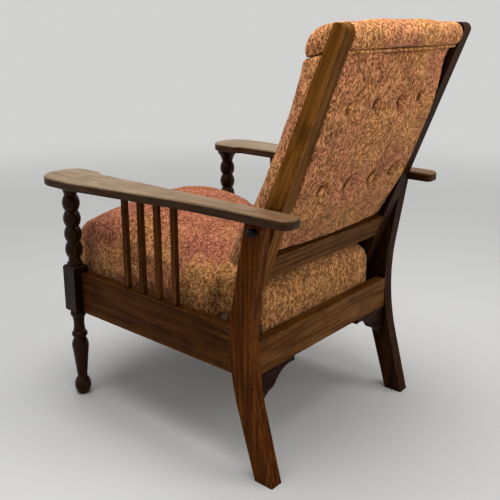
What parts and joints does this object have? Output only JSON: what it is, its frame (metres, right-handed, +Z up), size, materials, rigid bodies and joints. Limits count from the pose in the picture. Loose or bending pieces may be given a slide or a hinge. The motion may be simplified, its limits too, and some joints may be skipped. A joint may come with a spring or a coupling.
{
  "type": "reclining armchair",
  "caption": "Oak reclining armchair with bobbin-turned front posts, sabre rear legs and spindled sides; the padded back tilts on side pivots and carries the sprung seat with it.",
  "frame": {"origin": "on the floor under the middle of the chair's bounding box, with the back upright", "axes": "+Z up; the chair faces -Y; +X is the sitter's left"},
  "size_m": [0.736, 0.8434, 0.9634],
  "materials": {
    "oak": "waxed, worn",
    "plain_wood": "unfinished",
    "upholstery": "patterned chenille",
    "webbing": "woven jute",
    "black_knob": "gloss black",
    "steel": "dull",
    "screw": "dull"
  },
  "bodies": {
    "base": {"arm_left": "oak", "arm_right": "oak", "corner_block_left": "plain_wood", "corner_block_right": "plain_wood", "frame_screws": "screw", "front_post_left": "oak", "front_post_right": "oak", "front_rail": "oak", "pivot_knob_left": "black_knob", "pivot_knob_right": "black_knob", "pivot_pin_left": "steel", "pivot_pin_right": "steel", "pivot_washer_left": "steel", "pivot_washer_right": "steel", "rear_bracket_left": "oak", "rear_bracket_right": "oak", "rear_leg_left": "oak", "rear_leg_right": "oak", "rear_rail": "oak", "side_rail_left": "oak", "side_rail_right": "oak", "spindle_left_1": "oak", "spindle_left_2": "oak", "spindle_left_3": "oak", "spindle_left_4": "oak", "spindle_right_1": "oak", "spindle_right_2": "oak", "spindle_right_3": "oak", "spindle_right_4": "oak"},
    "back": {"back_buttons": "upholstery", "back_cushion": "upholstery", "back_lower_rail": "oak", "back_stile_left": "oak", "back_stile_right": "oak", "back_top_rail": "plain_wood", "back_top_roll": "upholstery", "back_web_rail": "plain_wood", "roll_welt": "upholstery"},
    "seat": {"seat_cushion": "upholstery", "seat_front_bar": "plain_wood", "seat_hinge_pin_left": "steel", "seat_hinge_pin_right": "steel", "seat_hinge_washer_left": "steel", "seat_hinge_washer_right": "steel", "seat_rear_bar": "plain_wood", "seat_side_left": "plain_wood", "seat_side_right": "plain_wood", "seat_webbing": "webbing"}
  },
  "joints": [
    {"name": "back_recline", "type": "hinge", "parent": "base", "child": "back", "pos_m": [0, 0.24831, 0.562], "axis": [-1, 0, 0], "range_deg": [0, 14]},
    {"name": "seat_tilt", "type": "hinge", "parent": "back", "child": "seat", "pos_m": [0, 0.15043, 0.307], "axis": [1, 0, 0], "range_deg": [0, 17.6]}
  ],
  "couplings": [
    {"joint": "seat_tilt", "follows": "back_recline", "ratio": 1.255}
  ]
}
